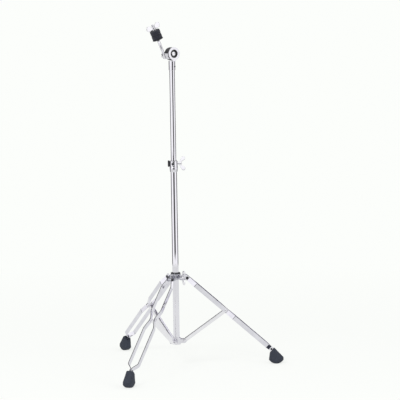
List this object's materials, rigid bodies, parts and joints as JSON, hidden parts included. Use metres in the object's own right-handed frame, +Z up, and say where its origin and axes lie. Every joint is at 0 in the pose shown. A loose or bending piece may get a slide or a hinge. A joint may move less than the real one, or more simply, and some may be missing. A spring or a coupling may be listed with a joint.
{
  "type": "cymbal stand",
  "caption": "Free-standing cymbal stand: a telescoping chrome tube on a folding tripod of double strip legs with rubber feet, and a toothed tilter with a threaded rod, felts and wing nut.",
  "frame": {"origin": "On the floor, at the middle of the stand's outline seen from above; the mast's axis is at x = -0.09043 m, y = 0.", "axes": "+Z is up along the mast. +X points along the leg that stands at the right in the picture; the other legs are 120 degrees to each side of it."},
  "size_m": [0.5758, 0.6612, 1.2071],
  "materials": {
    "chrome": "polished",
    "nylon": "satin",
    "felt": "pressed felt",
    "rubber": "matte",
    "dark_steel": "blackened"
  },
  "bodies": {
    "base": {"base_tube": "chrome", "lower_bracket": "chrome", "height_clamp": "chrome", "clamp_bush": "nylon", "clamp_bolt": "dark_steel"},
    "height_wing_nut": {"height_wing_nut": "chrome"},
    "tube_slide": {"guide_bush": "nylon"},
    "upper_tube": {"upper_tube": "chrome", "tilter_stem": "chrome", "stem_screw": "dark_steel", "ratchet_lower": "nylon", "tilter_bolt": "chrome", "tilter_washer": "chrome"},
    "tilter_wing_nut": {"tilter_wing_nut": "chrome"},
    "tilt_arm": {"tilter_arm": "chrome", "ratchet_upper": "nylon", "rod_set_screw": "dark_steel", "cymbal_rod": "chrome", "cymbal_seat": "nylon", "cymbal_sleeve": "nylon", "lower_felt": "felt", "upper_felt": "felt"},
    "cymbal_wing_nut": {"cymbal_wing_nut": "chrome"},
    "collar": {"leg_collar": "chrome", "collar_bush": "nylon", "leg_pin_a": "dark_steel", "leg_pin_b": "dark_steel", "leg_pin_c": "dark_steel"},
    "collar_wing_screw": {"collar_wing_screw": "chrome"},
    "leg_a": {"leg_strip_a_left": "chrome", "leg_strip_a_right": "chrome", "brace_rivet_a": "chrome", "foot_rivet_a": "dark_steel", "foot_a": "rubber"},
    "leg_b": {"leg_strip_b_left": "chrome", "leg_strip_b_right": "chrome", "brace_rivet_b": "chrome", "foot_rivet_b": "dark_steel", "foot_b": "rubber"},
    "leg_c": {"leg_strip_c_left": "chrome", "leg_strip_c_right": "chrome", "brace_rivet_c": "chrome", "foot_rivet_c": "dark_steel", "foot_c": "rubber"},
    "strut_a": {"strut_a": "chrome", "strut_pin_a": "dark_steel"},
    "strut_b": {"strut_b": "chrome", "strut_pin_b": "dark_steel"},
    "strut_c": {"strut_c": "chrome", "strut_pin_c": "dark_steel"}
  },
  "joints": [
    {"name": "height_slide", "type": "slide", "parent": "base", "child": "tube_slide", "axis": [0, 0, 1], "range_m": [-0.3, 0.15]},
    {"name": "mast_swivel", "type": "hinge", "parent": "tube_slide", "child": "upper_tube", "pos_m": [-0.09043, 0, 0.7], "axis": [0, 0, 1], "continuous": true},
    {"name": "tilt", "type": "hinge", "parent": "upper_tube", "child": "tilt_arm", "pos_m": [-0.09043, 0, 1.09747], "axis": [-0.5, 0.866, 0], "range_deg": [-14, 172]},
    {"name": "tilter_wing_nut_spin", "type": "hinge", "parent": "upper_tube", "child": "tilter_wing_nut", "pos_m": [-0.09985, 0.01632, 1.09747], "axis": [-0.5, 0.866, 0], "continuous": true},
    {"name": "cymbal_wing_nut_spin", "type": "hinge", "parent": "tilt_arm", "child": "cymbal_wing_nut", "pos_m": [-0.15033, -0.03458, 1.17833], "axis": [-0.3522, -0.2034, 0.9135], "continuous": true},
    {"name": "height_wing_nut_spin", "type": "hinge", "parent": "base", "child": "height_wing_nut", "pos_m": [-0.07743, 0.0182, 0.71572], "axis": [1, 0, 0], "continuous": true},
    {"name": "collar_slide", "type": "slide", "parent": "base", "child": "collar", "axis": [0, 0, 1], "range_m": [0, 0.1347]},
    {"name": "collar_wing_screw_spin", "type": "hinge", "parent": "collar", "child": "collar_wing_screw", "pos_m": [-0.07528, -0.02624, 0.32068], "axis": [0.5, -0.866, 0], "continuous": true},
    {"name": "leg_a_fold", "type": "hinge", "parent": "collar", "child": "leg_a", "pos_m": [-0.11058, 0.0349, 0.31468], "axis": [-0.866, -0.5, 0], "range_deg": [0, 45.3]},
    {"name": "leg_b_fold", "type": "hinge", "parent": "collar", "child": "leg_b", "pos_m": [-0.11058, -0.0349, 0.31468], "axis": [0.866, -0.5, 0], "range_deg": [0, 45.3]},
    {"name": "leg_c_fold", "type": "hinge", "parent": "collar", "child": "leg_c", "pos_m": [-0.05013, 0, 0.31468], "axis": [0, 1, 0], "range_deg": [0, 45.3]},
    {"name": "strut_a_fold", "type": "hinge", "parent": "leg_a", "child": "strut_a", "pos_m": [-0.17774, 0.15122, 0.19485], "axis": [-0.866, -0.5, 0], "range_deg": [-92.85, 0]},
    {"name": "strut_b_fold", "type": "hinge", "parent": "leg_b", "child": "strut_b", "pos_m": [-0.17774, -0.15122, 0.19485], "axis": [0.866, -0.5, 0], "range_deg": [-92.85, 0]},
    {"name": "strut_c_fold", "type": "hinge", "parent": "leg_c", "child": "strut_c", "pos_m": [0.08418, 0, 0.19485], "axis": [0, 1, 0], "range_deg": [-92.85, 0]}
  ],
  "couplings": [
    {"joint": "leg_a_fold", "follows": "collar_slide", "rad_per_m": 5.862},
    {"joint": "leg_b_fold", "follows": "collar_slide", "rad_per_m": 5.862},
    {"joint": "leg_c_fold", "follows": "collar_slide", "rad_per_m": 5.862},
    {"joint": "strut_a_fold", "follows": "collar_slide", "rad_per_m": -12.019},
    {"joint": "strut_b_fold", "follows": "collar_slide", "rad_per_m": -12.019},
    {"joint": "strut_c_fold", "follows": "collar_slide", "rad_per_m": -12.019}
  ]
}
